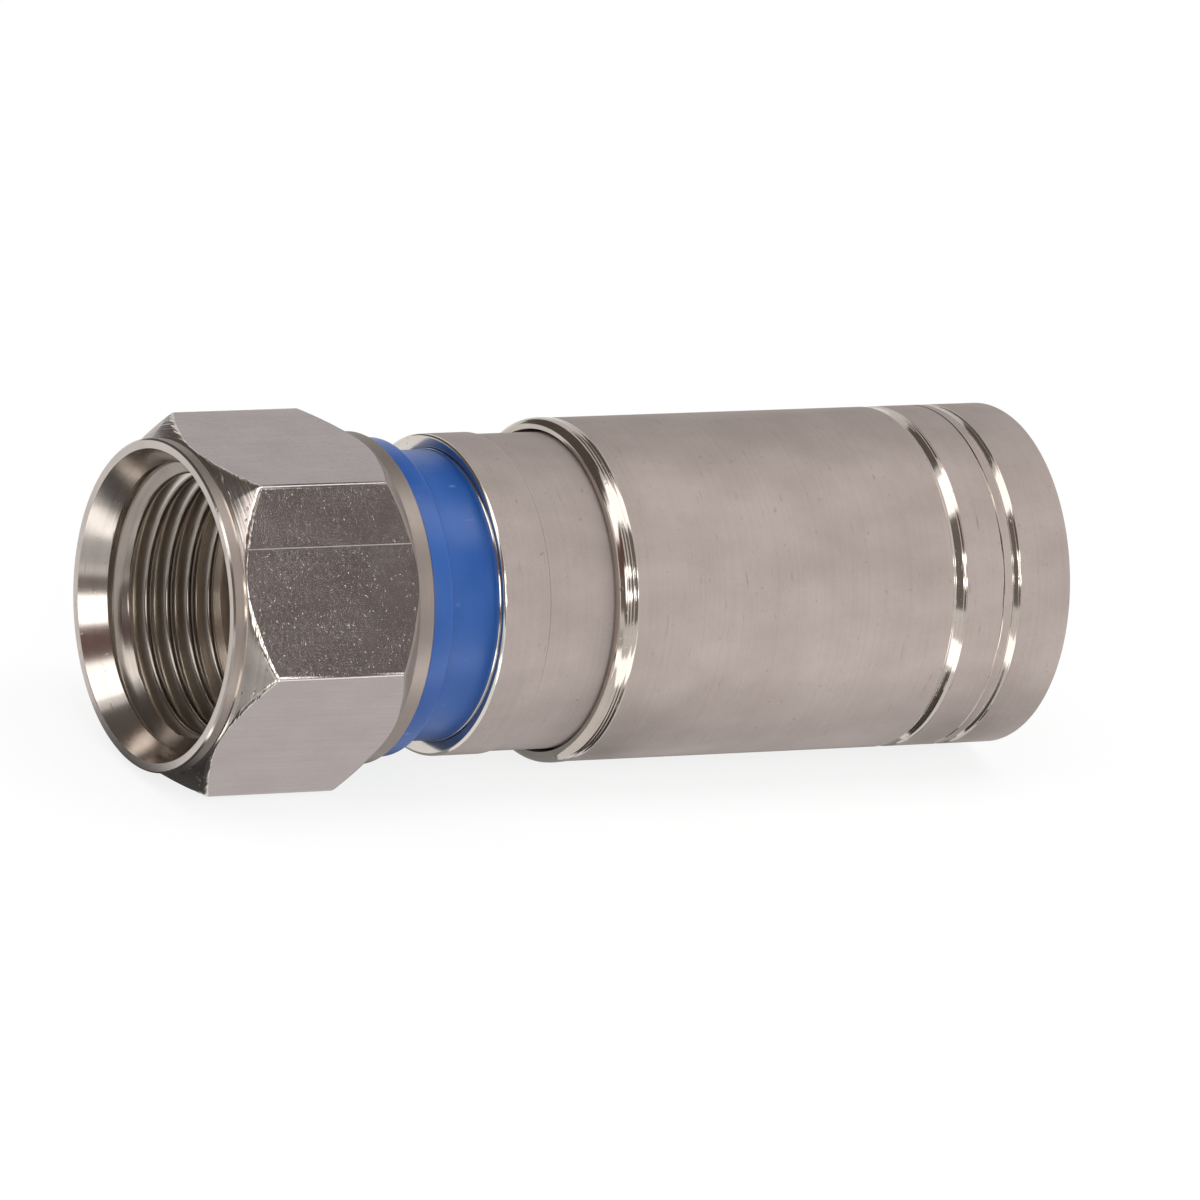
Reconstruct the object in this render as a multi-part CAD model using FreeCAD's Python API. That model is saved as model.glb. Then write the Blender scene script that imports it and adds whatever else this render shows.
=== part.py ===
import FreeCAD, Part
import math
import os

# Compression F connector for coaxial cable, in millimetres.
# The X axis is the axis of the connector. X = 0 is the reference plane, the front face of the
# post's flange, to which the cable's dielectric is trimmed. The nut's mouth points along -X, the
# cable leaves along +X, and one flat of the hexagon faces straight down.

# Internal thread, 3/8-32 UNEF. The wall is left plain at the thread's major diameter.
thread_major_diameter = 9.525
thread_pitch = 25.4 / 32
thread_minor_radius = thread_major_diameter / 2 - 0.5413 * thread_pitch

# Hexagon coupling nut
nut_across_flats = 11.11
nut_mouth_depth = 5.75
nut_chamfer_angle = 46.0
nut_front_land = 0.53
nut_rim_inset = 0.025
nut_rim_bevel = 0.06
nut_rim_groove_width = 0.09
nut_rim_groove_depth = 0.07
nut_rear_collar_length = 0.58
nut_rear_collar_inset = 0.015
nut_rear_edge_break = 0.06
nut_lead_in_step = 0.45
nut_lead_in_depth = 0.90
nut_thread_relief_length = 0.55
nut_pocket_step = 0.19
nut_lip_thickness = 0.50

# Centre post
post_bore_radius = 2.41
post_wall = 0.35
post_bore_bevel = 0.15
post_flange_thickness = 0.65
post_hub_step = 0.44
post_hub_setback = 0.20
post_length = 15.30
post_barb_height = 0.30
post_barb_length = 1.60
post_barb_step = 0.25
post_tip_wall = 0.12

# Square-cut seal between the nut and the body
seal_section = 0.64
seal_edge_bevel = 0.10

# Blue marker ring
ring_length = 2.74
ring_waist_wall = 0.98
ring_band_height = 0.47
ring_band_width = 0.74
ring_step_width = 0.12
ring_edge_bevel = 0.08
ring_tail_flare = 0.06

# Connector body
body_neck_wall = 0.65
body_web_thickness = 1.20
body_collar_radius = 5.376
body_collar_length = 1.66
body_edge_bevel = 0.07
body_relief_depth = 0.076
body_rear_land_length = 6.30
body_rear_wall = 0.626
body_wedge_step = 0.40
body_wedge_taper = 0.70
body_rear_bevel = 0.20

# Compression sleeve
sleeve_rest_gap = 4.15
sleeve_length = 17.59
sleeve_wall = 0.344
sleeve_bead_height = 0.03
bead_nose_length = 0.465
bead_nose_ridges = 3
bead_ridge_depth = 0.03
bead_rear_ridge_width = 0.22
sleeve_lip_thickness = 1.04
sleeve_rear_edge = 0.06
sleeve_bore_bevel = 0.15
front_groove_offset = 4.09
front_groove_width = 0.54
rear_groove_offset = 1.965
rear_groove_width = 0.35
groove_depth = 0.06
groove_shoulder = 0.05

# Grip ferrule, carried by the sleeve
ferrule_wall = 0.65
ferrule_overlap = 4.30
ferrule_flange_thickness = 1.10
ferrule_nose_taper = 0.80
ferrule_nose_drop = 0.22
ferrule_entry_step = 0.35

# Fits
post_insertion_clearance = 0.08
nut_radial_clearance = 0.05
nut_axial_play = 0.05
seal_radial_clearance = 0.05
seal_end_gap = 0.035
ring_gap = 0.08
press_clearance = 0.01
sleeve_slide_clearance = 0.04
sleeve_end_gap = 0.15
ferrule_slide_clearance = 0.05
ferrule_end_gap = 0.20

# Radii that follow from the sizes above
thread_radius = thread_major_diameter / 2
nut_flat_radius = nut_across_flats / 2
nut_corner_radius = nut_across_flats / math.sqrt(3)
nut_pocket_radius = thread_radius + nut_pocket_step
post_flange_radius = thread_minor_radius - post_insertion_clearance
post_tube_radius = post_bore_radius + post_wall
post_hub_radius = post_tube_radius + post_hub_step
hub_bore_radius = post_hub_radius + press_clearance
body_neck_radius = hub_bore_radius + body_neck_wall
neck_seat_radius = body_neck_radius + press_clearance
nut_skirt_radius = neck_seat_radius + seal_section + seal_radial_clearance
ring_waist_radius = neck_seat_radius + ring_waist_wall
ring_band_radius = ring_waist_radius + ring_band_height
body_relief_radius = body_collar_radius - body_relief_depth
body_wedge_radius = body_collar_radius - body_rear_wall
body_chamber_radius = body_wedge_radius - body_wedge_step
sleeve_bore_radius = body_collar_radius + sleeve_slide_clearance
sleeve_radius = sleeve_bore_radius + sleeve_wall
ferrule_radius = body_wedge_radius - ferrule_slide_clearance
ferrule_bore_radius = ferrule_radius - ferrule_wall
cable_entry_radius = ferrule_bore_radius + ferrule_entry_step

# Stations along X that follow from the sizes above
nut_front = -nut_mouth_depth
thread_front = nut_front + nut_lead_in_depth
thread_rear = -nut_thread_relief_length
lip_front = post_flange_thickness + nut_axial_play
lip_rear = lip_front + nut_lip_thickness
neck_front = lip_rear + nut_axial_play
ring_front = lip_rear + seal_section + 2 * seal_end_gap
nut_rear = ring_front - ring_gap
body_face = ring_front + ring_length
web_rear = body_face + body_web_thickness
post_hub_rear = web_rear - post_hub_setback
sleeve_front = body_face + sleeve_rest_gap
sleeve_rear = sleeve_front + sleeve_length
sleeve_lip_front = sleeve_rear - sleeve_lip_thickness
compression_stroke = sleeve_rest_gap - sleeve_end_gap
ferrule_flange_front = sleeve_lip_front - ferrule_flange_thickness
body_rear = ferrule_flange_front - compression_stroke - ferrule_end_gap
ferrule_front = body_rear - ferrule_overlap
wedge_front = ferrule_front - compression_stroke - ferrule_end_gap


def turned(steps):
    """Turn a closed outline of (x, radius) points about the X axis."""
    points = [FreeCAD.Vector(x, 0, radius) for x, radius in steps]
    face = Part.Face(Part.makePolygon(points + points[:1]))
    return face.revolve(FreeCAD.Vector(0, 0, 0), FreeCAD.Vector(1, 0, 0), 360)


def hexagon_bar(across_flats, start, end):
    """Hexagonal bar along X with one flat facing down."""
    corner_radius = across_flats / math.sqrt(3)
    corners = []
    for index in range(7):
        angle = math.radians(60 * index)
        y = corner_radius * math.cos(angle)
        z = corner_radius * math.sin(angle)
        corners.append(FreeCAD.Vector(start, y, z))
    face = Part.Face(Part.makePolygon(corners))
    return face.extrude(FreeCAD.Vector(end - start, 0, 0))


def make_coupling_nut():
    """Hexagon nut: a hexagonal bar cut by a turned envelope that chamfers both ends."""
    slope = math.tan(math.radians(nut_chamfer_angle))
    rim_radius = nut_flat_radius - nut_rim_inset
    collar_radius = nut_flat_radius - nut_rear_collar_inset
    chamfer_foot = nut_front + nut_front_land - nut_rim_inset / slope
    front_corner = chamfer_foot + (nut_corner_radius - rim_radius) / slope
    collar_front = nut_rear - nut_rear_collar_length
    rear_corner = collar_front - (nut_corner_radius - collar_radius) / slope
    groove_front = chamfer_foot - nut_rim_groove_width
    groove_middle = chamfer_foot - nut_rim_groove_width / 2
    outside = nut_corner_radius + 1
    envelope = turned([
        (nut_front, 0),
        (nut_front, rim_radius - nut_rim_bevel),
        (nut_front + nut_rim_bevel, rim_radius),
        (groove_front, rim_radius),
        (groove_middle, rim_radius - nut_rim_groove_depth),
        (chamfer_foot, rim_radius),
        (front_corner, nut_corner_radius),
        (front_corner, outside),
        (rear_corner, outside),
        (rear_corner, nut_corner_radius),
        (collar_front, collar_radius),
        (nut_rear - nut_rear_edge_break, collar_radius),
        (nut_rear, collar_radius - nut_rear_edge_break),
        (nut_rear, 0),
    ])
    mouth_radius = thread_radius + nut_lead_in_step
    lip_radius = post_hub_radius + nut_radial_clearance
    bore = turned([
        (nut_front - 1, 0),
        (nut_front - 1, mouth_radius),
        (nut_front, mouth_radius),
        (thread_front, thread_radius),
        (thread_rear, thread_radius),
        (thread_rear + nut_pocket_step, nut_pocket_radius),
        (lip_front, nut_pocket_radius),
        (lip_front, lip_radius),
        (lip_rear, lip_radius),
        (lip_rear, nut_skirt_radius),
        (nut_rear + 1, nut_skirt_radius),
        (nut_rear + 1, 0),
    ])
    bar = hexagon_bar(nut_across_flats, nut_front, nut_rear)
    return bar.common(envelope).cut(bore)


def make_centre_post():
    """Flanged and barbed tube that holds the nut on and takes the cable's dielectric."""
    barb_front = post_length - post_barb_length
    return turned([
        (0, post_bore_radius + post_bore_bevel),
        (0, post_flange_radius - post_bore_bevel),
        (post_bore_bevel, post_flange_radius),
        (post_flange_thickness, post_flange_radius),
        (post_flange_thickness, post_hub_radius),
        (post_hub_rear, post_hub_radius),
        (post_hub_rear, post_tube_radius),
        (barb_front, post_tube_radius),
        (barb_front + post_barb_step, post_tube_radius + post_barb_height),
        (post_length, post_bore_radius + post_tip_wall),
        (post_length, post_bore_radius),
        (post_bore_bevel, post_bore_radius),
    ])


def make_connector_body():
    """Turned body pressed on the post's hub, with lands that guide the sleeve."""
    collar_rear = body_face + body_collar_length
    rear_land_front = body_rear - body_rear_land_length
    return turned([
        (neck_front, hub_bore_radius),
        (neck_front, body_neck_radius),
        (body_face, body_neck_radius),
        (body_face, body_collar_radius - body_edge_bevel),
        (body_face + body_edge_bevel, body_collar_radius),
        (collar_rear, body_collar_radius),
        (collar_rear + body_relief_depth, body_relief_radius),
        (rear_land_front - body_relief_depth, body_relief_radius),
        (rear_land_front, body_collar_radius),
        (body_rear - body_rear_bevel, body_collar_radius),
        (body_rear, body_collar_radius - body_rear_bevel),
        (body_rear, body_wedge_radius + body_rear_bevel),
        (body_rear - body_rear_bevel, body_wedge_radius),
        (wedge_front, body_wedge_radius),
        (wedge_front - body_wedge_taper, body_chamber_radius),
        (web_rear, body_chamber_radius),
        (web_rear, hub_bore_radius),
    ])


def make_marker_ring():
    """Moulded ring on the body's neck, between the nut and the body's front face."""
    band_rear = ring_front + ring_band_width
    band_edge = ring_band_radius - ring_edge_bevel
    return turned([
        (ring_front, neck_seat_radius),
        (ring_front, band_edge),
        (ring_front + ring_edge_bevel, ring_band_radius),
        (band_rear - ring_edge_bevel, ring_band_radius),
        (band_rear, band_edge),
        (band_rear + ring_step_width, ring_waist_radius),
        (body_face - ring_tail_flare, ring_waist_radius),
        (body_face, ring_waist_radius + ring_tail_flare),
        (body_face, neck_seat_radius),
    ])


def make_nut_seal():
    """Square-cut rubber ring between the nut's skirt and the body's neck."""
    seal_front = lip_rear + seal_end_gap
    seal_rear = seal_front + seal_section
    seal_radius = neck_seat_radius + seal_section
    return turned([
        (seal_front, neck_seat_radius + seal_edge_bevel),
        (seal_front, seal_radius - seal_edge_bevel),
        (seal_front + seal_edge_bevel, seal_radius),
        (seal_rear - seal_edge_bevel, seal_radius),
        (seal_rear, seal_radius - seal_edge_bevel),
        (seal_rear, neck_seat_radius + seal_edge_bevel),
        (seal_rear - seal_edge_bevel, neck_seat_radius),
        (seal_front + seal_edge_bevel, neck_seat_radius),
    ])


def groove_steps(offset, width):
    """Steps of a shallow groove whose rear edge is offset from the sleeve's rear end."""
    rear = sleeve_rear - offset
    front = rear - width
    floor = sleeve_radius - groove_depth
    return [
        (front, sleeve_radius),
        (front + groove_shoulder, floor),
        (rear - groove_shoulder, floor),
        (rear, sleeve_radius),
    ]


def nose_point(turn, depth):
    """Point on the bead's elliptical nose, from 0 at its front to 90 degrees at its crown.

    depth is how far the point lies inside the bead's full outline.
    """
    nose_height = sleeve_wall + sleeve_bead_height
    forward = (bead_nose_length - depth) * math.cos(math.radians(turn))
    outward = (nose_height - depth) * math.sin(math.radians(turn))
    return (sleeve_front + bead_nose_length - forward, sleeve_bore_radius + outward)


def bead_steps():
    """Steps of the bead: ridges over its nose and one ridge behind its crown."""
    ridge_turn = 90 / bead_nose_ridges
    steps = [(sleeve_front, sleeve_bore_radius)]
    for index in range(bead_nose_ridges):
        steps.append(nose_point(ridge_turn * (index + 0.5), 0))
        steps.append(nose_point(ridge_turn * (index + 1), bead_ridge_depth))
    crown = sleeve_front + bead_nose_length
    bead_radius = sleeve_radius + sleeve_bead_height
    steps.append((crown + bead_rear_ridge_width / 2, bead_radius))
    steps.append((crown + bead_rear_ridge_width, sleeve_radius))
    return steps


def make_compression_sleeve():
    """Turned sleeve with a ridged bead at its front and a lip round the cable entry."""
    steps = bead_steps()
    steps += groove_steps(front_groove_offset, front_groove_width)
    steps += groove_steps(rear_groove_offset, rear_groove_width)
    steps += [
        (sleeve_rear - sleeve_rear_edge, sleeve_radius),
        (sleeve_rear, sleeve_radius - sleeve_rear_edge),
        (sleeve_rear, cable_entry_radius + sleeve_bore_bevel),
        (sleeve_rear - sleeve_bore_bevel, cable_entry_radius),
        (sleeve_lip_front, cable_entry_radius),
        (sleeve_lip_front, sleeve_bore_radius),
    ]
    return turned(steps)


def make_grip_ferrule():
    """Plastic ferrule that the sleeve pushes between the body's bore and the jacket."""
    flange_radius = sleeve_bore_radius - press_clearance
    return turned([
        (ferrule_front, ferrule_bore_radius),
        (ferrule_front, ferrule_radius - ferrule_nose_drop),
        (ferrule_front + ferrule_nose_taper, ferrule_radius),
        (ferrule_flange_front, ferrule_radius),
        (ferrule_flange_front, flange_radius),
        (sleeve_lip_front, flange_radius),
        (sleeve_lip_front, ferrule_bore_radius),
    ])


sub_parts = {
    "coupling_nut": make_coupling_nut(),
    "centre_post": make_centre_post(),
    "connector_body": make_connector_body(),
    "marker_ring": make_marker_ring(),
    "nut_seal": make_nut_seal(),
    "compression_sleeve": make_compression_sleeve(),
    "grip_ferrule": make_grip_ferrule(),
}

os.makedirs("parts", exist_ok=True)
for node, shape in sub_parts.items():
    shape.exportStep("parts/" + node + ".step")
    print(node, shape.isValid(), len(shape.Solids), round(shape.Volume, 3))
print("compression stroke", round(compression_stroke, 3))
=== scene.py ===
import math

import bmesh
import bpy
import numpy as np
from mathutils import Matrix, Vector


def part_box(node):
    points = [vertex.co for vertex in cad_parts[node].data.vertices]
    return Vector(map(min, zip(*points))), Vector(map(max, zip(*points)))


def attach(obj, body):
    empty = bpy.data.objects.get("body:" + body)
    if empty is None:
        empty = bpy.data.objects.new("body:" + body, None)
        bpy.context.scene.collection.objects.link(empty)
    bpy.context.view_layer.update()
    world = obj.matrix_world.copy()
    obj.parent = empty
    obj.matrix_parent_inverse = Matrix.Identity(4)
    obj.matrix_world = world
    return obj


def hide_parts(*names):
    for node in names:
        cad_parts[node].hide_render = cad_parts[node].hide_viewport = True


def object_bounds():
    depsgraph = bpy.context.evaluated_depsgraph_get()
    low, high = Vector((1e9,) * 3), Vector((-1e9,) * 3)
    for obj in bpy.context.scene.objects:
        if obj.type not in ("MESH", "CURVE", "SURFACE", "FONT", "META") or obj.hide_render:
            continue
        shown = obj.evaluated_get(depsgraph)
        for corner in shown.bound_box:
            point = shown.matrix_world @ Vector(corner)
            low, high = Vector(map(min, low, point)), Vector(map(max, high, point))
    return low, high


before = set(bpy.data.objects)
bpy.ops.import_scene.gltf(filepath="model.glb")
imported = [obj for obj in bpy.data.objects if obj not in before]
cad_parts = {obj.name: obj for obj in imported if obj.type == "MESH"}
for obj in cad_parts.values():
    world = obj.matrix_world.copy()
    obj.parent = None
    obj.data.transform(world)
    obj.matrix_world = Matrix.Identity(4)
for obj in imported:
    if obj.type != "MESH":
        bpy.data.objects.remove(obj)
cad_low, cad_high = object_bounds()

# Centre post
# A tube turned from brass rod and nickel plated. Its flange holds the nut and meets the port's
# barrel, the body is pressed on its hub, and the barb behind grips the cable's braid.
MM = 0.001
scene = bpy.context.scene
post_low, post_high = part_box("centre_post")
post_rear = post_high.x
post_flange_radius = post_high.z
post_bore_radius = 2.41 * MM
post_tube_radius = 2.76 * MM
post_hub_radius = 3.20 * MM
post_hub_rear = 5.65 * MM
post_flange_rear = 0.65 * MM
post_bevel = 0.15 * MM
post_barb_front = post_rear - 1.60 * MM
post_barb_crest = post_rear - 1.35 * MM
post_barb_radius = 3.06 * MM
post_tip_radius = 2.53 * MM
post_edge = 0.04 * MM
turned_columns = 256
seam_gap = 0.0002 * MM
longest_ease = 0.4
turned_crease = 35.0

# A Mix node set to colours takes them at these two inputs and gives the mix at this output.
mix_first, mix_second, mix_result = 6, 7, 2


def linear(hex_colour):
    """Linear RGBA of an sRGB hex colour."""
    channels = []
    for start in (0, 2, 4):
        value = int(hex_colour[start:start + 2], 16) / 255
        if value <= 0.04045:
            channels.append(value / 12.92)
        else:
            channels.append(((value + 0.055) / 1.055) ** 2.4)
    return (*channels, 1.0)


def add_node(tree, kind, settings=None, inputs=None):
    """Add a node with its settings. Each input is a value, or a node or socket to link from."""
    node = tree.nodes.new(kind)
    for name, value in (settings or {}).items():
        setattr(node, name, value)
    for name, value in (inputs or {}).items():
        if isinstance(value, bpy.types.Node):
            value = value.outputs[0]
        if isinstance(value, bpy.types.NodeSocket):
            tree.links.new(value, node.inputs[name])
        else:
            node.inputs[name].default_value = value
    return node


def empty_material(name):
    """Material with an empty node tree, and that tree."""
    material = bpy.data.materials.new(name)
    material.use_nodes = True
    material.node_tree.nodes.clear()
    return material, material.node_tree


def unevenness(tree, size, detail=2.0, roughness=0.5):
    """Uneven pattern from 0 to 1 on a piece, whose features are size (x, y, z) metres long."""
    place = add_node(tree, "ShaderNodeTexCoord").outputs["Object"]
    scaled = add_node(tree, "ShaderNodeMapping", inputs={
        "Vector": place,
        "Scale": [1 / length for length in size],
    })
    return add_node(tree, "ShaderNodeTexNoise", inputs={
        "Vector": scaled,
        "Scale": 1.0,
        "Detail": detail,
        "Roughness": roughness,
    })


def spots(tree, size, start, full, detail=1.0):
    """Separate spots of a real size: 0 where the pattern is under start, and 1 past full."""
    return add_node(tree, "ShaderNodeMapRange", inputs={
        "Value": unevenness(tree, size, detail),
        "From Min": start,
        "From Max": full,
    })


def with_marks(tree, surface, marks):
    """Colour of a surface under marks, each a pattern, how strongly it shows and its colour."""
    for pattern, strength, tint in marks:
        share = add_node(tree, "ShaderNodeMath", {"operation": "MULTIPLY"},
                         {0: pattern, 1: strength})
        surface = add_node(tree, "ShaderNodeMix", {"data_type": "RGBA"}, {
            0: share,
            mix_first: surface,
            mix_second: linear(tint),
        }).outputs[mix_result]
    return surface


def nickel_on_turned_brass(name, light, dark, roughness, spread, line_width, line_depth):
    """Bright nickel plate over brass cut on a lathe.

    The tool leaves fine rings round the axis, which smear every reflection along it. Here and
    there one is torn deeper and runs part of the way round, and the plate has a few small pits.
    light and dark are the plate's two tones, spread is how far the rings smear, and line_width
    and line_depth are their size.
    """
    material, tree = empty_material(name)
    rings = unevenness(tree, (line_width, 9 * MM, 9 * MM), detail=3.0, roughness=0.6)
    cloud = unevenness(tree, (2.6 * MM, 1.7 * MM, 1.7 * MM), detail=4.0)
    grain = unevenness(tree, (0.07 * MM, 0.10 * MM, 0.10 * MM))
    tears = spots(tree, (0.11 * MM, 1.0 * MM, 1.0 * MM), 0.71, 0.79)
    pits = spots(tree, (0.16 * MM, 0.22 * MM, 0.22 * MM), 0.72, 0.78)
    marks = add_node(tree, "ShaderNodeMath", {"operation": "MAXIMUM"}, {0: tears, 1: pits})
    cloud_tone = add_node(tree, "ShaderNodeMapRange", inputs={
        "Value": cloud,
        "From Min": 0.35,
        "From Max": 0.65,
        "To Max": 0.70,
    })
    ring_tone = add_node(tree, "ShaderNodeMapRange", inputs={
        "Value": rings,
        "From Min": 0.42,
        "From Max": 0.62,
        "To Max": 0.25,
    })
    tone = add_node(tree, "ShaderNodeMath", {"operation": "ADD"}, {0: cloud_tone, 1: ring_tone})
    plate = add_node(tree, "ShaderNodeMix", {"data_type": "RGBA"}, {
        0: tone,
        mix_first: linear(light),
        mix_second: linear(dark),
    }).outputs[mix_result]
    blotches = add_node(tree, "ShaderNodeMath", {"operation": "ADD"}, {0: cloud, 1: grain})
    haze = add_node(tree, "ShaderNodeMapRange", inputs={
        "Value": blotches,
        "From Min": 0.7,
        "From Max": 1.3,
        "To Min": roughness * 0.96,
        "To Max": roughness * 1.04,
    })
    grit = add_node(tree, "ShaderNodeMath", {"operation": "MULTIPLY"},
                    {0: grain, 1: 0.25 * roughness ** 2})
    raised = add_node(tree, "ShaderNodeMath", {"operation": "ADD"}, {0: rings, 1: grit})
    cut = add_node(tree, "ShaderNodeMath", {"operation": "MULTIPLY"}, {0: marks, 1: 1.5})
    height = add_node(tree, "ShaderNodeMath", {"operation": "SUBTRACT"}, {0: raised, 1: cut})
    shader = add_node(tree, "ShaderNodeBsdfPrincipled", inputs={
        "Base Color": with_marks(tree, plate, [(marks, 0.25, "6E645C")]),
        "Metallic": 1.0,
        "Roughness": haze,
        "Anisotropic": spread,
        "Anisotropic Rotation": 0.25,
        "Normal": add_node(tree, "ShaderNodeBump",
                           inputs={"Height": height, "Distance": line_depth}),
        "Tangent": add_node(tree, "ShaderNodeTangent",
                            {"direction_type": "RADIAL", "axis": "X"}),
    })
    add_node(tree, "ShaderNodeOutputMaterial", inputs={"Surface": shader})
    return material


def new_tree(name, given, made):
    """Geometry Nodes tree with named inputs, each with its kind of socket, and one output."""
    tree = bpy.data.node_groups.new(name, "GeometryNodeTree")
    for title, kind in given.items():
        tree.interface.new_socket(title, in_out="INPUT", socket_type=kind)
    tree.interface.new_socket(made, in_out="OUTPUT", socket_type="NodeSocketGeometry")
    return tree, add_node(tree, "NodeGroupInput").outputs


def outline_grid(tree, outline, columns):
    """Grid whose every column of points follows an outline, held in an object's own points.

    Returns the grid, the outline's x and its z at each point, and the column's place in the
    grid from 0 to 1.
    """
    count = add_node(tree, "GeometryNodeAttributeDomainSize", {"component": "MESH"},
                     {"Geometry": outline}).outputs["Point Count"]
    rows = add_node(tree, "FunctionNodeIntegerMath", {"operation": "ADD"}, {0: columns, 1: 1})
    grid = add_node(tree, "GeometryNodeMeshGrid",
                    inputs={"Vertices X": rows, "Vertices Y": count})
    index = add_node(tree, "GeometryNodeInputIndex")
    along = add_node(tree, "FunctionNodeIntegerMath", {"operation": "MODULO"},
                     {0: index, 1: count})
    column = add_node(tree, "FunctionNodeIntegerMath", {"operation": "DIVIDE_FLOOR"},
                      {0: index, 1: count})
    followed = add_node(tree, "GeometryNodeSampleIndex",
                        {"data_type": "FLOAT_VECTOR", "domain": "POINT"}, {
                            "Geometry": outline,
                            "Value": add_node(tree, "GeometryNodeInputPosition"),
                            "Index": along,
                        })
    place = add_node(tree, "ShaderNodeSeparateXYZ", inputs={0: followed}).outputs
    share = add_node(tree, "ShaderNodeMath", {"operation": "DIVIDE"}, {0: column, 1: columns})
    return grid, place["X"], place["Z"], share


def wrap_round_axis(tree, grid, x, radius, turns):
    """Put a grid's points at x, at a radius, and so many turns round the X axis."""
    angle = add_node(tree, "ShaderNodeMath", {"operation": "MULTIPLY"}, {0: turns, 1: math.tau})
    cosine = add_node(tree, "ShaderNodeMath", {"operation": "COSINE"}, {0: angle})
    sine = add_node(tree, "ShaderNodeMath", {"operation": "SINE"}, {0: angle})
    across = add_node(tree, "ShaderNodeMath", {"operation": "MULTIPLY"}, {0: radius, 1: cosine})
    upward = add_node(tree, "ShaderNodeMath", {"operation": "MULTIPLY"}, {0: radius, 1: sine})
    place = add_node(tree, "ShaderNodeCombineXYZ", inputs={"X": x, "Y": across, "Z": upward})
    return add_node(tree, "GeometryNodeSetPosition", inputs={"Geometry": grid, "Position": place})


def end_tree(tree, mesh, finish):
    """End a tree with its mesh made real and given its finish."""
    real = add_node(tree, "GeometryNodeRealizeInstances", inputs={"Geometry": mesh})
    finished = add_node(tree, "GeometryNodeSetMaterial",
                        inputs={"Geometry": real, "Material": finish})
    add_node(tree, "NodeGroupOutput", inputs={0: finished})


def turning_tree():
    """Geometry Nodes that turn an outline, held in the object's own points, about X."""
    tree, given = new_tree("Turned about X", {
        "Outline": "NodeSocketGeometry",
        "Columns": "NodeSocketInt",
        "Seam gap": "NodeSocketFloat",
        "Finish": "NodeSocketMaterial",
    }, "Turned piece")
    grid, x, radius, share = outline_grid(tree, given["Outline"], given["Columns"])
    wrapped = wrap_round_axis(tree, grid, x, radius, share)
    closed = add_node(tree, "GeometryNodeMergeByDistance",
                      inputs={"Geometry": wrapped, "Distance": given["Seam gap"]})
    end_tree(tree, closed, given["Finish"])
    return tree


def set_inputs(modifier, values):
    """Set a Geometry Nodes modifier's inputs by the identifiers of its named sockets."""
    for item in modifier.node_group.interface.items_tree:
        if item.name in values:
            modifier[item.identifier] = values[item.name]


def new_object(name, data):
    """Object linked to the scene."""
    thing = bpy.data.objects.new(name, data)
    scene.collection.objects.link(thing)
    return thing


def settle(piece, crease=turned_crease):
    """Make a piece plain mesh: modifiers applied, faces outwards, edges crisp, shading even."""
    graph = bpy.context.evaluated_depsgraph_get()
    piece.data = bpy.data.meshes.new_from_object(piece.evaluated_get(graph))
    piece.modifiers.clear()
    shell = bmesh.new()
    shell.from_mesh(piece.data)
    bmesh.ops.remove_doubles(shell, verts=shell.verts, dist=seam_gap)
    bmesh.ops.recalc_face_normals(shell, faces=shell.faces)
    for face in shell.faces:
        face.smooth = True
    shell.to_mesh(piece.data)
    shell.free()
    piece.data.set_sharp_from_angle(angle=math.radians(crease))
    even = piece.modifiers.new("Even shading", "WEIGHTED_NORMAL")
    even.keep_sharp = True
    graph = bpy.context.evaluated_depsgraph_get()
    piece.data = bpy.data.meshes.new_from_object(piece.evaluated_get(graph))
    piece.modifiers.clear()


def eased(corners, ease, steps=3):
    """Closed outline whose corners are eased by a small curve, as deburring leaves them."""
    corners = [np.array(corner) for corner in corners]
    points = []
    for index, corner in enumerate(corners):
        sides = (corners[index - 1] - corner, corners[(index + 1) % len(corners)] - corner)
        start, end = (
            corner + side * min(longest_ease, ease / np.linalg.norm(side)) for side in sides
        )
        for step in range(steps + 1):
            t = step / steps
            points.append((1 - t) ** 2 * start + 2 * t * (1 - t) * corner + t ** 2 * end)
    return points


turning = turning_tree()


def turned_piece(name, outline, finish):
    """Piece turned about X from a closed outline of (x, radius) points."""
    mesh = bpy.data.meshes.new(name)
    mesh.from_pydata([(x, 0, radius) for x, radius in [*outline, outline[0]]], [], [])
    piece = new_object(name, mesh)
    lathe = piece.modifiers.new("Lathe", "NODES")
    lathe.node_group = turning
    set_inputs(lathe, {
        "Columns": turned_columns,
        "Seam gap": seam_gap,
        "Finish": finish,
    })
    settle(piece)
    return piece


def finish_faces(piece, finish, chosen):
    """Give a finish to the faces whose middle (x, radius) is chosen."""
    piece.data.materials.append(finish)
    number = len(piece.data.materials) - 1
    for face in piece.data.polygons:
        x, y, z = face.center
        if chosen(x, math.hypot(y, z)):
            face.material_index = number


nickel_post = nickel_on_turned_brass(
    "nickel plate on turned post", "D8CFC6", "C4BBB2", 0.26, 0.4, 0.06 * MM, 0.0005 * MM)
post = turned_piece("post", eased([
    (post_low.x, post_bore_radius + post_bevel),
    (post_low.x, post_flange_radius - post_bevel),
    (post_low.x + post_bevel, post_flange_radius),
    (post_flange_rear, post_flange_radius),
    (post_flange_rear, post_hub_radius),
    (post_hub_rear, post_hub_radius),
    (post_hub_rear, post_tube_radius),
    (post_barb_front, post_tube_radius),
    (post_barb_crest, post_barb_radius),
    (post_rear, post_tip_radius),
    (post_rear, post_bore_radius),
    (post_low.x + post_bevel, post_bore_radius),
], post_edge), nickel_post)
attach(post, "body")
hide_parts("centre_post")

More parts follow.
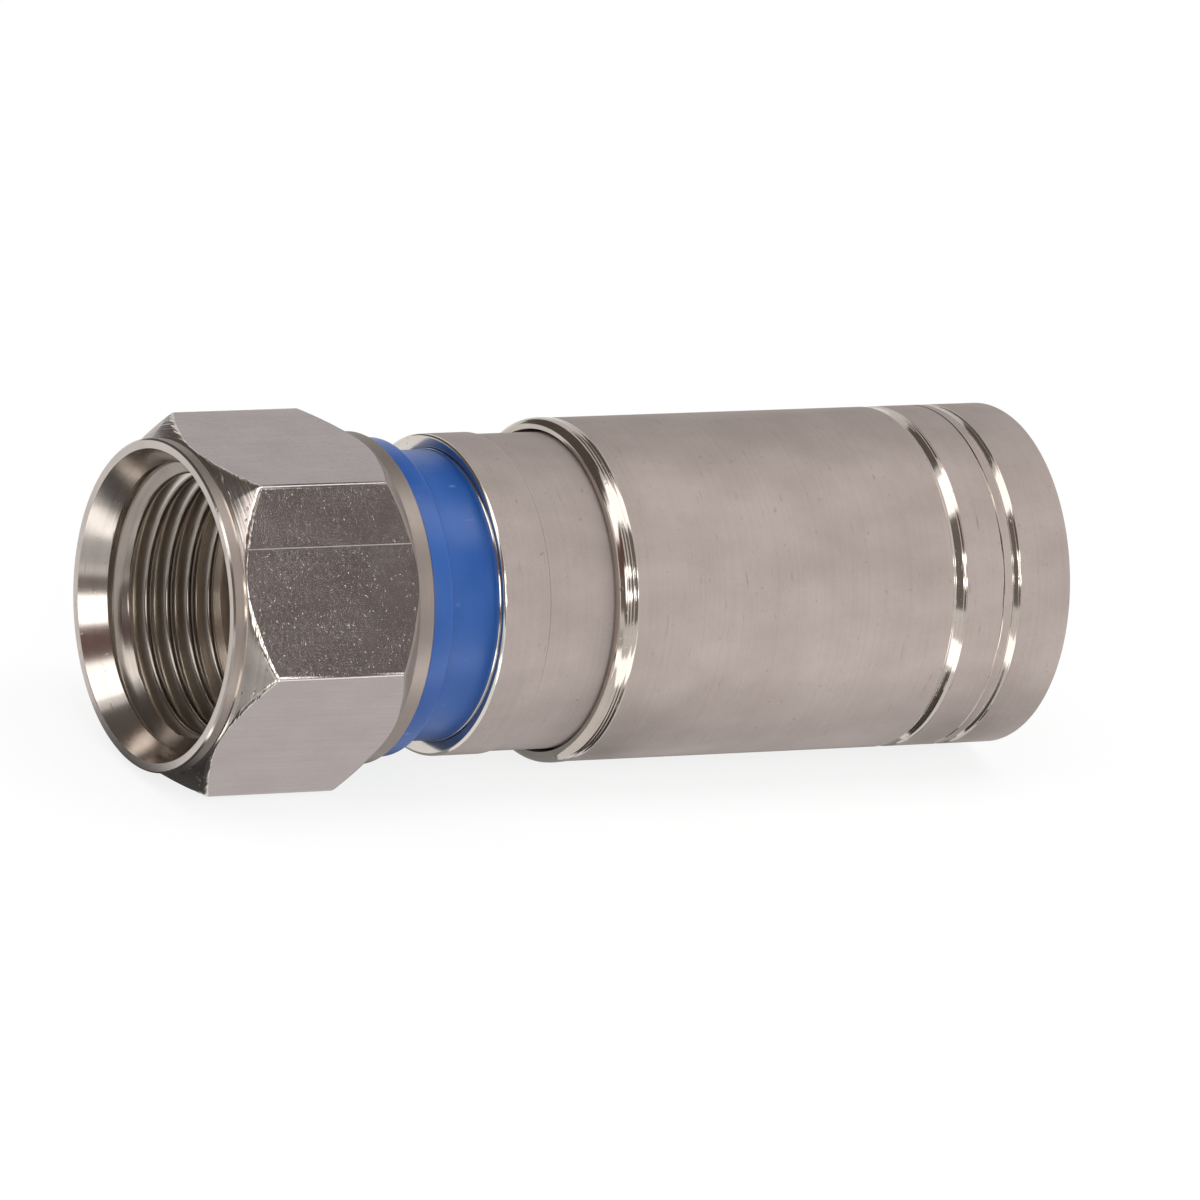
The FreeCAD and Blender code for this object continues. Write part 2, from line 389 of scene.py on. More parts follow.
# Coupling nut
# Hexagon brass bar, drawn, then turned at both ends, bored and threaded 3/8-32 inside, and
# nickel plated. It is slipped over the post, whose flange keeps it on, and turns freely.
nut_low, nut_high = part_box("coupling_nut")
nut_front = nut_low.x
nut_rear = nut_high.x
nut_flat_radius = nut_high.z
nut_chamfer_slope = math.tan(math.radians(46.0))
nut_corner_round = 0.10 * MM
nut_corner_half_turn = 1.0
nut_front_land = 0.53 * MM
nut_rim_radius = nut_flat_radius - 0.025 * MM
nut_rim_bevel = 0.06 * MM
nut_groove_width = 0.12 * MM
nut_groove_depth = 0.09 * MM
nut_collar_radius = nut_flat_radius - 0.015 * MM
nut_collar_length = 0.58 * MM
nut_edge_break = 0.06 * MM
nut_scallop_ease = 0.085 * MM
nut_longest_ease = 0.45
nut_ease_sag = 0.35
nut_columns_per_flat = 44
nut_columns_per_corner = 6
nut_crease = 22.0
thread_radius = 4.7625 * MM
thread_pitch = 25.4 / 32 * MM
mouth_radius = thread_radius + 0.45 * MM
mouth_edge_break = 0.02 * MM
thread_front = nut_front + 0.90 * MM
thread_rear = -0.55 * MM
pocket_radius = 4.9525 * MM
pocket_front = thread_rear + 0.19 * MM
lip_front = 0.70 * MM
lip_rear = 1.20 * MM
lip_radius = 3.25 * MM
skirt_radius = 4.56 * MM
scratched_flat_turn = math.radians(30)
scratch_offset = 1.14 * MM
scratch_half_width = 0.022 * MM
scratch_core = 0.4 * scratch_half_width
scratch_wander = 0.01 * MM
flat_skin = 0.02 * MM
flat_relief = 0.0028 * MM


def hexagon_reach(turn):
    """Radius of the rounded hexagon at an angle, in degrees from the middle of a flat."""
    apothem = nut_flat_radius - nut_corner_round
    corner = apothem / math.cos(math.radians(30))
    side = abs((turn + 30) % 60 - 30)
    tangent = math.degrees(math.atan2(apothem * math.tan(math.radians(30)), nut_flat_radius))
    if side <= tangent:
        return nut_flat_radius / math.cos(math.radians(side))
    off = math.radians(30 - side)
    chord = math.sqrt(nut_corner_round ** 2 - (corner * math.sin(off)) ** 2)
    return corner * math.cos(off) + chord


def nut_turns():
    """Angles of the nut's columns: closer together round each corner of the hexagon."""
    turns = []
    for middle in range(0, 360, 60):
        corner = middle + 30
        turns += list(np.linspace(middle - 30 + nut_corner_half_turn,
                                  corner - nut_corner_half_turn, nut_columns_per_flat))
        turns += list(np.linspace(corner - nut_corner_half_turn, corner + nut_corner_half_turn,
                                  nut_columns_per_corner + 2)[1:-1])
    return turns


def nut_column(turn):
    """Outline of the nut at one angle, as (x, radius, finish of the strip that starts there).

    It runs from the mouth over the outside to the rear, and back through the bore.
    """
    reach = hexagon_reach(turn)
    foot = nut_front + nut_front_land - (nut_flat_radius - nut_rim_radius) / nut_chamfer_slope
    front = foot + (reach - nut_rim_radius) / nut_chamfer_slope
    collar_front = nut_rear - nut_collar_length
    rear = collar_front - (reach - nut_collar_radius) / nut_chamfer_slope
    front_ease = min(nut_scallop_ease, nut_longest_ease * (front - foot))
    rear_ease = min(nut_scallop_ease, nut_longest_ease * (collar_front - rear))
    return [
        (nut_front, mouth_radius + mouth_edge_break, "rim"),
        (nut_front, nut_rim_radius - nut_rim_bevel, "mouth"),
        (nut_front + nut_rim_bevel, nut_rim_radius, "collar"),
        (foot - nut_groove_width, nut_rim_radius, "mouth"),
        (foot - nut_groove_width / 2, nut_rim_radius - nut_groove_depth, "mouth"),
        (foot, nut_rim_radius, "chamfer"),
        (front - front_ease, reach - front_ease * nut_chamfer_slope, "edge"),
        (front, reach - nut_ease_sag * front_ease, "edge"),
        (front + front_ease, reach, "flat"),
        (rear - rear_ease, reach, "collar"),
        (rear, reach - nut_ease_sag * rear_ease, "collar"),
        (rear + rear_ease, reach - rear_ease * nut_chamfer_slope, "collar"),
        (collar_front, nut_collar_radius, "collar"),
        (nut_rear - nut_edge_break, nut_collar_radius, "collar"),
        (nut_rear, nut_collar_radius - nut_edge_break, "rim"),
        (nut_rear, skirt_radius, "bore"),
        (lip_rear, skirt_radius, "bore"),
        (lip_rear, lip_radius, "bore"),
        (lip_front, lip_radius, "bore"),
        (lip_front, pocket_radius, "bore"),
        (pocket_front, pocket_radius, "bore"),
        (thread_rear, thread_radius, "bore"),
        (thread_front, thread_radius, "mouth"),
        (nut_front + mouth_edge_break, mouth_radius - mouth_edge_break / 2, "rim"),
    ]


def nut_shell(finishes):
    """Mesh of the nut without its thread, one strip of faces for each step of its outline."""
    columns = [(turn, nut_column(turn)) for turn in nut_turns()]
    count = len(columns[0][1])
    points = []
    for turn, column in columns:
        angle = math.radians(turn + 90)
        for x, radius, finish in column:
            points.append((x, radius * math.cos(angle), radius * math.sin(angle)))
    faces = []
    numbers = []
    for first, (turn, column) in enumerate(columns):
        second = (first + 1) % len(columns)
        for row, (x, radius, finish) in enumerate(column):
            after = (row + 1) % count
            faces.append((first * count + row, first * count + after,
                          second * count + after, second * count + row))
            numbers.append(list(finishes).index(finish))
    mesh = bpy.data.meshes.new("nut")
    mesh.from_pydata(points, [], faces)
    mesh.polygons.foreach_set("material_index", numbers)
    for finish in finishes.values():
        mesh.materials.append(finish)
    return mesh


def scratch_on_flat(tree):
    """The one long scratch along a flat of the nut: 1 on its line and 0 off it."""
    place = add_node(tree, "ShaderNodeTexCoord").outputs["Object"]
    across = add_node(tree, "ShaderNodeVectorMath", {"operation": "DOT_PRODUCT"}, {
        0: place,
        1: (0.0, math.sin(scratched_flat_turn), math.cos(scratched_flat_turn)),
    }).outputs["Value"]
    outward = add_node(tree, "ShaderNodeVectorMath", {"operation": "DOT_PRODUCT"}, {
        0: place,
        1: (0.0, -math.cos(scratched_flat_turn), math.sin(scratched_flat_turn)),
    }).outputs["Value"]
    wander = add_node(tree, "ShaderNodeMapRange", inputs={
        "Value": unevenness(tree, (2.0 * MM,) * 3),
        "To Min": -scratch_wander,
        "To Max": scratch_wander,
    })
    wandered = add_node(tree, "ShaderNodeMath", {"operation": "ADD"}, {0: across, 1: wander})
    offset = add_node(tree, "ShaderNodeMath", {"operation": "SUBTRACT"},
                      {0: wandered, 1: scratch_offset})
    off_line = add_node(tree, "ShaderNodeMath", {"operation": "ABSOLUTE"}, {0: offset})
    on_line = add_node(tree, "ShaderNodeMapRange", inputs={
        "Value": off_line,
        "From Min": scratch_core,
        "From Max": scratch_half_width,
        "To Min": 1.0,
        "To Max": 0.0,
    })
    on_flat = add_node(tree, "ShaderNodeMath", {"operation": "GREATER_THAN"},
                       {0: outward, 1: nut_flat_radius - flat_skin})
    return add_node(tree, "ShaderNodeMath", {"operation": "MULTIPLY"}, {0: on_line, 1: on_flat})


def nickel_on_drawn_hexagon():
    """Bright nickel plate over hexagon brass bar as it was drawn, which the lathe never cut.

    The flats mirror more darkly than the turned parts. The die has left fine lines along the
    bar, and the plate over them has a peel, pits, pale specks and one longer scratch. The peel
    and the specks are drawn coarser than the real ones, which are too fine to show.
    """
    material, tree = empty_material("nickel plate on drawn hexagon")
    lines = unevenness(tree, (4 * MM, 0.07 * MM, 0.07 * MM), detail=3.0)
    cloud = unevenness(tree, (1.6 * MM, 1.3 * MM, 1.3 * MM), detail=5.0, roughness=0.6)
    peel = unevenness(tree, (0.17 * MM,) * 3, detail=4.0, roughness=0.65)
    pits = spots(tree, (0.11 * MM,) * 3, 0.66, 0.74)
    specks = spots(tree, (0.10 * MM, 0.13 * MM, 0.13 * MM), 0.70, 0.76)
    scratch = scratch_on_flat(tree)
    streaks = add_node(tree, "ShaderNodeMath", {"operation": "ADD"}, {0: cloud, 1: lines})
    tone = add_node(tree, "ShaderNodeMapRange", inputs={
        "Value": streaks,
        "From Min": 0.75,
        "From Max": 1.25,
    })
    plate = add_node(tree, "ShaderNodeMix", {"data_type": "RGBA"}, {
        0: tone,
        mix_first: linear("B5ABA9"),
        mix_second: linear("AEA4A2"),
    }).outputs[mix_result]
    plate = with_marks(tree, plate, [
        (pits, 0.10, "6A605A"),
        (specks, 0.10, "DAD4CE"),
        (scratch, 0.30, "F6F2EC"),
    ])
    blotches = add_node(tree, "ShaderNodeMath", {"operation": "ADD"}, {0: cloud, 1: peel})
    haze = add_node(tree, "ShaderNodeMapRange", inputs={
        "Value": blotches,
        "From Min": 0.8,
        "From Max": 1.2,
        "To Min": 0.14,
        "To Max": 0.20,
    })
    for pattern, dulling in ((scratch, 0.15), (specks, 0.12)):
        duller = add_node(tree, "ShaderNodeMath", {"operation": "MULTIPLY"},
                          {0: pattern, 1: dulling})
        haze = add_node(tree, "ShaderNodeMath", {"operation": "ADD"}, {0: haze, 1: duller})
    bulge = add_node(tree, "ShaderNodeMath", {"operation": "MULTIPLY"}, {0: peel, 1: 1.8})
    ribs = add_node(tree, "ShaderNodeMath", {"operation": "MULTIPLY"}, {0: lines, 1: 0.5})
    raised = add_node(tree, "ShaderNodeMath", {"operation": "ADD"}, {0: bulge, 1: ribs})
    sunk = add_node(tree, "ShaderNodeMath", {"operation": "MULTIPLY"}, {0: pits, 1: 0.5})
    height = add_node(tree, "ShaderNodeMath", {"operation": "SUBTRACT"}, {0: raised, 1: sunk})
    shader = add_node(tree, "ShaderNodeBsdfPrincipled", inputs={
        "Base Color": plate,
        "Metallic": 1.0,
        "Roughness": haze,
        "Normal": add_node(tree, "ShaderNodeBump",
                           inputs={"Height": height, "Distance": flat_relief}),
    })
    add_node(tree, "ShaderNodeOutputMaterial", inputs={"Surface": shader})
    return material


nickel_rim = nickel_on_turned_brass(
    "nickel plate on turned rim", "D4CAC4", "C9BFB8", 0.38, 0.2, 0.05 * MM, 0.0008 * MM)
nickel_flat = nickel_on_drawn_hexagon()
# Painted light: the bore's plate is lighter than the other nickel, so the deep bore and the
# flanks of the thread read bright.
bore_painted_light = nickel_on_turned_brass(
    "nickel plate in threaded bore, painted light", "ECE5DC", "DFD6CB", 0.25, 0.2, 0.08 * MM, 0.0004 * MM)
nickel_mouth = nickel_on_turned_brass(
    "nickel plate on polished mouth", "CFC6BE", "BDB3AA", 0.17, 0.2, 0.08 * MM, 0.0010 * MM)
# Painted shade: the collar's plate is darker than the other nickel, so the rear collar and the
# second ring of the rim look dimmer.
collar_painted_shade = nickel_on_turned_brass(
    "nickel plate on turned collar, painted shade", "9C918A", "90867F", 0.50, 0.2, 0.06 * MM, 0.0010 * MM)

# The tool's lines on the chamfer, and the small dents on the edge in front of each flat, are
# too fine to show, so both are drawn wider and deeper than they are and sparkle as they do.
nickel_chamfer = nickel_on_turned_brass(
    "nickel plate on turned chamfer", "C6BCB5", "A0968F", 0.24, 0.2, 0.11 * MM, 0.0300 * MM)
nickel_edge = nickel_on_turned_brass(
    "nickel plate on dented edge", "DCD4CC", "CFC6BE", 0.14, 0.2, 0.18 * MM, 0.0700 * MM)

nut = new_object("nut", nut_shell({
    "rim": nickel_rim,
    "flat": nickel_flat,
    "bore": bore_painted_light,
    "mouth": nickel_mouth,
    "chamfer": nickel_chamfer,
    "collar": collar_painted_shade,
    "edge": nickel_edge,
}))
settle(nut, crease=nut_crease)
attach(nut, "nut")
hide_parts("coupling_nut")

# Coupling thread
# The ridges of the nut's internal thread, cut from the same bar with a 60 degree tool. They run
# a little over five turns, right hand, and the mouth's lead-in cuts the tops of the first.
thread_height_in_pitches = 0.5413
thread_height = thread_height_in_pitches * thread_pitch
thread_crest_radius = thread_radius - thread_height
thread_root_width = 7 / 8 * thread_pitch
thread_crest_width = thread_pitch / 4
thread_crest_round = 0.09 * MM
thread_sunk = 0.02 * MM
thread_run_out = 0.2
thread_columns_per_turn = 200
thread_start = thread_front - 0.225 * MM
thread_end = thread_rear - 0.20 * MM
thread_turns = (thread_end - thread_start) / thread_pitch
lead_in_slope = 0.75
lead_in_sunk = 0.01 * MM
lead_in_rear = thread_front + 0.60 * MM
crest_band = 0.10 * MM


def thread_tree():
    """Geometry Nodes that run a ridge's section, held in the object's points, up a helix.

    The ridge rises from the wall over its first run-out turns and sinks back over its last, and
    the cone of the lead-in cuts its top.
    """
    lengths = ("Start", "Pitch", "Turns", "Run-out turns", "Wall radius",
               "Lead-in station", "Lead-in radius", "Lead-in slope")
    tree, given = new_tree("Thread ridge", {
        "Section": "NodeSocketGeometry",
        **dict.fromkeys(lengths, "NodeSocketFloat"),
        "Columns": "NodeSocketInt",
        "Finish": "NodeSocketMaterial",
    }, "Ridge")
    grid, x, height, share = outline_grid(tree, given["Section"], given["Columns"])
    turned = add_node(tree, "ShaderNodeMath", {"operation": "MULTIPLY"},
                      {0: share, 1: given["Turns"]})
    climb = add_node(tree, "ShaderNodeMath", {"operation": "MULTIPLY"},
                     {0: turned, 1: given["Pitch"]})
    middle = add_node(tree, "ShaderNodeMath", {"operation": "ADD"},
                      {0: given["Start"], 1: climb})
    station = add_node(tree, "ShaderNodeMath", {"operation": "ADD"}, {0: middle, 1: x})
    left = add_node(tree, "ShaderNodeMath", {"operation": "SUBTRACT"},
                    {0: given["Turns"], 1: turned})
    to_end = add_node(tree, "ShaderNodeMath", {"operation": "MINIMUM"}, {0: turned, 1: left})
    rise = add_node(tree, "ShaderNodeMath", {"operation": "DIVIDE"},
                    {0: to_end, 1: given["Run-out turns"]})
    fade = add_node(tree, "ShaderNodeMath", {"operation": "MINIMUM"}, {0: rise, 1: 1.0})
    stands = add_node(tree, "ShaderNodeMath", {"operation": "MULTIPLY"}, {0: fade, 1: height})
    uncut = add_node(tree, "ShaderNodeMath", {"operation": "SUBTRACT"},
                     {0: given["Wall radius"], 1: stands})
    depth = add_node(tree, "ShaderNodeMath", {"operation": "SUBTRACT"},
                     {0: station, 1: given["Lead-in station"]})
    narrows = add_node(tree, "ShaderNodeMath", {"operation": "MULTIPLY"},
                       {0: depth, 1: given["Lead-in slope"]})
    cone = add_node(tree, "ShaderNodeMath", {"operation": "SUBTRACT"},
                    {0: given["Lead-in radius"], 1: narrows})
    radius = add_node(tree, "ShaderNodeMath", {"operation": "MAXIMUM"}, {0: uncut, 1: cone})
    wrapped = wrap_round_axis(tree, grid, station, radius, turned)
    end_tree(tree, wrapped, given["Finish"])
    return tree


ridge_section = eased([
    (-thread_root_width / 2, -thread_sunk),
    (-thread_crest_width / 2, thread_height),
    (thread_crest_width / 2, thread_height),
    (thread_root_width / 2, -thread_sunk),
], thread_crest_round, steps=6)
section_mesh = bpy.data.meshes.new("nut_thread")
section_mesh.from_pydata([(x, 0, z) for x, z in [*ridge_section, ridge_section[0]]], [], [])
nut_thread = new_object("nut_thread", section_mesh)
tap = nut_thread.modifiers.new("Tap", "NODES")
tap.node_group = thread_tree()
set_inputs(tap, {
    "Start": thread_start,
    "Pitch": thread_pitch,
    "Turns": thread_turns,
    "Run-out turns": thread_run_out,
    "Wall radius": thread_radius,
    "Lead-in station": thread_front,
    "Lead-in radius": thread_radius + lead_in_sunk,
    "Lead-in slope": lead_in_slope,
    "Columns": int(thread_columns_per_turn * thread_turns),
    "Finish": bore_painted_light,
})
settle(nut_thread)


def on_crest(x, radius):
    """Whether a point of the ridge lies on its crest or in the lead-in, whose plate is painted
    darker as shade.
    """
    return x < lead_in_rear or radius < thread_crest_radius + crest_band


# Painted shade: the crests and the lead-in get a darker plate than the rest of the bore, so they
# look dimmer in the mouth.
crest_painted_shade = nickel_on_turned_brass(
    "nickel plate on thread crests, painted shade", "A79E96", "958C84", 0.22, 0.2, 0.08 * MM, 0.0006 * MM)
finish_faces(nut_thread, crest_painted_shade, on_crest)
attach(nut_thread, "nut")

# Seal ring
# Black rubber ring, cut square, in the skirt behind the nut's lip. It keeps water out of the
# joint between the nut and the body, and is hidden once the nut is on.
seal_low, seal_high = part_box("nut_seal")
seal_bore_radius = 3.87 * MM
seal_bevel = 0.10 * MM


def end_moulded(tree, colour, drift, sheen, grain, grain_depth, own):
    """End a moulded material, with a sheen that drifts and a fine grain from the mould.

    drift is the pattern that the sheen follows, sheen is the roughness where it is low and
    where it is high, and own are the shader's values for this one material.
    """
    shader = add_node(tree, "ShaderNodeBsdfPrincipled", inputs={
        "Base Color": colour,
        "Roughness": add_node(tree, "ShaderNodeMapRange", inputs={
            "Value": drift,
            "From Min": 0.3,
            "From Max": 0.7,
            "To Min": sheen[0],
            "To Max": sheen[1],
        }),
        "Normal": add_node(tree, "ShaderNodeBump",
                           inputs={"Height": grain, "Distance": grain_depth}),
        **own,
    })
    add_node(tree, "ShaderNodeOutputMaterial", inputs={"Surface": shader})


def black_rubber():
    """Moulded rubber: near black, matt, with a faint bloom and a fine moulded grain."""
    material, tree = empty_material("black rubber")
    bloom = unevenness(tree, (0.8 * MM,) * 3, detail=4.0)
    colour = add_node(tree, "ShaderNodeMix", {"data_type": "RGBA"}, {
        0: bloom,
        mix_first: linear("141416"),
        mix_second: linear("26262A"),
    }).outputs[mix_result]
    grain = unevenness(tree, (0.06 * MM,) * 3)
    end_moulded(tree, colour, bloom, (0.55, 0.75), grain, 0.003 * MM, {"IOR": 1.52})
    return material


seal = turned_piece("seal", eased([
    (seal_low.x, seal_bore_radius),
    (seal_low.x, seal_high.z),
    (seal_high.x, seal_high.z),
    (seal_high.x, seal_bore_radius),
], seal_bevel), black_rubber())
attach(seal, "body")
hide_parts("nut_seal")

# Connector body
# Turned from brass rod and nickel plated. It is pressed on the post's hub, its polished front
# face backs the marker ring, and two lands guide the sleeve that slides over it.
body_low, body_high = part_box("connector_body")
body_front = body_low.x
body_rear = body_high.x
body_collar_radius = body_high.z
body_neck_radius = 3.86 * MM
body_hub_bore_radius = 3.21 * MM
body_face = 4.65 * MM
body_collar_rear = body_face + 1.66 * MM
body_relief_depth = 0.076 * MM
body_relief_radius = body_collar_radius - body_relief_depth
body_step_width = 0.07 * MM
body_step_undercut = 0.03 * MM
body_rear_land_front = body_rear - 6.30 * MM
body_web_rear = body_face + 1.20 * MM
body_chamber_radius = 4.35 * MM
body_wedge_radius = 4.75 * MM
body_wedge_front = 11.55 * MM
body_wedge_taper = 0.70 * MM
body_front_bevel = 0.07 * MM
body_dish_radius = 4.88 * MM
body_dish_root = 0.06 * MM
body_dish_root_slant = 0.02 * MM
body_dish = 0.11 * MM
body_rear_bevel = 0.20 * MM
body_edge = 0.03 * MM

nickel_body = nickel_on_turned_brass(
    "nickel plate on turned body", "C0B5B0", "B5ABA6", 0.80, 0.2, 0.07 * MM, 0.0014 * MM)
# Painted light: the front face's plate is lighter than the other nickel, so the blue ring
# mirrored in it looks about as bright as the ring itself.
face_painted_light = nickel_on_turned_brass(
    "nickel plate on polished face, painted light", "E4DED6", "D2CAC0", 0.14, 0.2, 0.06 * MM, 0.0004 * MM)
body = turned_piece("body", eased([
    (body_front, body_hub_bore_radius),
    (body_front, body_neck_radius),
    (body_face, body_neck_radius),
    (body_face, body_dish_radius - body_dish_root_slant),
    (body_face + body_dish_root, body_dish_radius),
    (body_face - body_dish, body_collar_radius - body_front_bevel),
    (body_face - body_dish + body_front_bevel, body_collar_radius),
    (body_collar_rear, body_collar_radius),
    (body_collar_rear + body_step_width / 2, body_relief_radius - body_step_undercut),
    (body_collar_rear + body_step_width, body_relief_radius),
    (body_rear_land_front - body_relief_depth, body_relief_radius),
    (body_rear_land_front, body_collar_radius),
    (body_rear - body_rear_bevel, body_collar_radius),
    (body_rear, body_collar_radius - body_rear_bevel),
    (body_rear, body_wedge_radius + body_rear_bevel),
    (body_rear - body_rear_bevel, body_wedge_radius),
    (body_wedge_front, body_wedge_radius),
    (body_wedge_front - body_wedge_taper, body_chamber_radius),
    (body_web_rear, body_chamber_radius),
    (body_web_rear, body_hub_bore_radius),
], body_edge), nickel_body)
finish_faces(body, face_painted_light, lambda x, radius: x < body_face + body_front_bevel)
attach(body, "body")
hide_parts("connector_body")

# Marker ring
# Moulded in blue plastic and pressed over the body's neck, with a raised band towards the nut.
# Its colour tells the cable size that the connector fits.
ring_low, ring_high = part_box("marker_ring")
ring_front = ring_low.x
ring_rear = ring_high.x
ring_band_radius = ring_high.z
ring_bore_radius = 3.87 * MM
ring_waist_radius = 4.85 * MM
ring_band_rear = ring_front + 0.74 * MM
ring_step_width = 0.12 * MM
ring_tail_flare = 0.06 * MM
ring_edge = 0.08 * MM


def blue_moulded_plastic():
    """Moulded polypropylene, coloured blue all through, with a soft sheen and faint flow marks.

    A few pale scuffs show where it has rubbed against other connectors in their bag.
    """
    material, tree = empty_material("blue polypropylene")
    flow = unevenness(tree, (1.8 * MM, 3.0 * MM, 3.0 * MM), detail=3.0)
    scuffs = spots(tree, (0.9 * MM, 0.35 * MM, 0.5 * MM), 0.68, 0.80, detail=4.0)
    streaks = add_node(tree, "ShaderNodeMapRange", inputs={
        "Value": flow,
        "From Min": 0.3,
        "From Max": 0.7,
    })
    dye = add_node(tree, "ShaderNodeMix", {"data_type": "RGBA"}, {
        0: streaks,
        mix_first: linear("164B92"),
        mix_second: linear("22569F"),
    }).outputs[mix_result]
    colour = with_marks(tree, dye, [(scuffs, 0.45, "8FA9D8")])
    grain = unevenness(tree, (0.30 * MM,) * 3, detail=3.0)
    end_moulded(tree, colour, flow, (0.30, 0.42), grain, 0.006 * MM, {
        "IOR": 1.49,
        "Subsurface Weight": 0.15,
        "Subsurface Radius": (0.2, 0.4, 1.0),
        "Subsurface Scale": 0.4 * MM,
    })
    return material


ring = turned_piece("ring", eased([
    (ring_front, ring_bore_radius),
    (ring_front, ring_band_radius),
    (ring_band_rear, ring_band_radius),
    (ring_band_rear + ring_step_width, ring_waist_radius),
    (ring_rear - ring_tail_flare, ring_waist_radius),
    (ring_rear, ring_waist_radius + ring_tail_flare),
    (ring_rear, ring_bore_radius),
], ring_edge, steps=5), blue_moulded_plastic())
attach(ring, "body")
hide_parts("marker_ring")

# Grip ferrule
# Moulded in natural acetal. The sleeve carries it, and drives its nose between the body's bore
# and the cable's jacket when the connector is compressed.
ferrule_low, ferrule_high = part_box("grip_ferrule")
ferrule_radius = 4.70 * MM
ferrule_bore_radius = 4.05 * MM
ferrule_flange_front = ferrule_high.x - 1.10 * MM
ferrule_nose_taper = 0.80 * MM
ferrule_nose_radius = ferrule_radius - 0.22 * MM
ferrule_edge = 0.06 * MM


def natural_acetal():
    """Moulded acetal in its natural milky white: smooth, slightly waxy, a little translucent."""
    material, tree = empty_material("natural acetal")
    cloud = unevenness(tree, (1.5 * MM,) * 3, detail=4.0)
    colour = add_node(tree, "ShaderNodeMix", {"data_type": "RGBA"}, {
        0: cloud,
        mix_first: linear("DAD8D0"),
        mix_second: linear("C9C6BC"),
    }).outputs[mix_result]
    grain = unevenness(tree, (0.2 * MM,) * 3, detail=3.0)
    end_moulded(tree, colour, cloud, (0.32, 0.44), grain, 0.004 * MM, {
        "IOR": 1.48,
        "Subsurface Weight": 0.2,
        "Subsurface Scale": 0.5 * MM,
    })
    return material


ferrule = turned_piece("ferrule", eased([
    (ferrule_low.x, ferrule_bore_radius),
    (ferrule_low.x, ferrule_nose_radius),
    (ferrule_low.x + ferrule_nose_taper, ferrule_radius),
    (ferrule_flange_front, ferrule_radius),
    (ferrule_flange_front, ferrule_high.z),
    (ferrule_high.x, ferrule_high.z),
    (ferrule_high.x, ferrule_bore_radius),
], ferrule_edge), natural_acetal())
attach(ferrule, "sleeve")
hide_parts("grip_ferrule")

# Compression sleeve
# Drawn and turned brass tube, nickel plated. It has a ridged bead round its front, two grooves
# with a fine tool line near its rear, and a lip that holds the ferrule and takes the cable.
sleeve_low, sleeve_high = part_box("compression_sleeve")
sleeve_front = sleeve_low.x
sleeve_rear = sleeve_high.x
bead_radius = sleeve_high.z
sleeve_radius = bead_radius - 0.03 * MM
sleeve_bore_radius = 5.416 * MM
sleeve_front_edge = 0.02 * MM
bead_nose_length = 0.36 * MM
bead_crown = sleeve_front + bead_nose_length
bead_nose_ridges = 2
bead_ridge_depth = 0.014 * MM
bead_rear_ridges = 2
bead_rear_ridge_width = 0.1625 * MM
bead_rear = bead_crown + bead_rear_ridges * bead_rear_ridge_width
bead_rear_fall = 0.4 * (bead_radius - sleeve_radius)
bead_valley = 0.009 * MM
bead_step = 0.01 * MM
ridge_steps = 6
groove_depth = 0.045 * MM
groove_shoulder_share = 0.25
groove_shoulder_points = 9
front_groove = (sleeve_rear - 4.63 * MM, sleeve_rear - 4.09 * MM)
rear_groove = (sleeve_rear - 2.315 * MM, sleeve_rear - 1.965 * MM)
tool_line = sleeve_rear - 2.64 * MM
tool_line_half_width = 0.03 * MM
tool_line_depth = 0.035 * MM
sleeve_lip_front = sleeve_rear - 1.04 * MM
sleeve_lip_radius = 4.40 * MM
sleeve_lip_bevel = 0.15 * MM
sleeve_rear_edge = 0.06 * MM
sleeve_rear_sag = 0.3 * sleeve_rear_edge
bore_skin = 0.01 * MM


def bead_outline():
    """Points over the bead, from the sleeve's bore: ridges round the nose, then two behind."""
    nose_height = bead_radius - sleeve_bore_radius
    points = [(sleeve_front + sleeve_front_edge, sleeve_bore_radius)]
    turns = np.linspace(0, 90, bead_nose_ridges * ridge_steps + 1)
    for number, turn in enumerate(turns):
        swell = abs(math.sin(math.pi * number / ridge_steps))
        depth = bead_ridge_depth * (1 - swell) if number else 0.0
        angle = math.radians(turn)
        points.append((
            bead_crown - (bead_nose_length - depth) * math.cos(angle),
            sleeve_bore_radius + (nose_height - depth) * math.sin(angle),
        ))
    points.append((bead_crown + bead_step, bead_radius - bead_valley))
    for step in range(1, bead_rear_ridges * ridge_steps + 1):
        share = step / (bead_rear_ridges * ridge_steps)
        swell = bead_valley * abs(math.sin(math.pi * step / ridge_steps))
        points.append((
            bead_crown + (bead_rear - bead_crown) * share,
            bead_radius - bead_valley - bead_rear_fall * share + swell,
        ))
    points.append((bead_rear + bead_step, sleeve_radius))
    return points


def groove_outline(front, rear):
    """Points over a shallow rolled groove, whose shoulders are rounded above and below."""
    shoulder = (rear - front) * groove_shoulder_share
    curve = [(shoulder * share, groove_depth * (1 - math.cos(math.pi * share)) / 2)
             for share in np.linspace(0, 1, groove_shoulder_points)]
    return ([(front + x, sleeve_radius - depth) for x, depth in curve]
            + [(rear - x, sleeve_radius - depth) for x, depth in reversed(curve)])


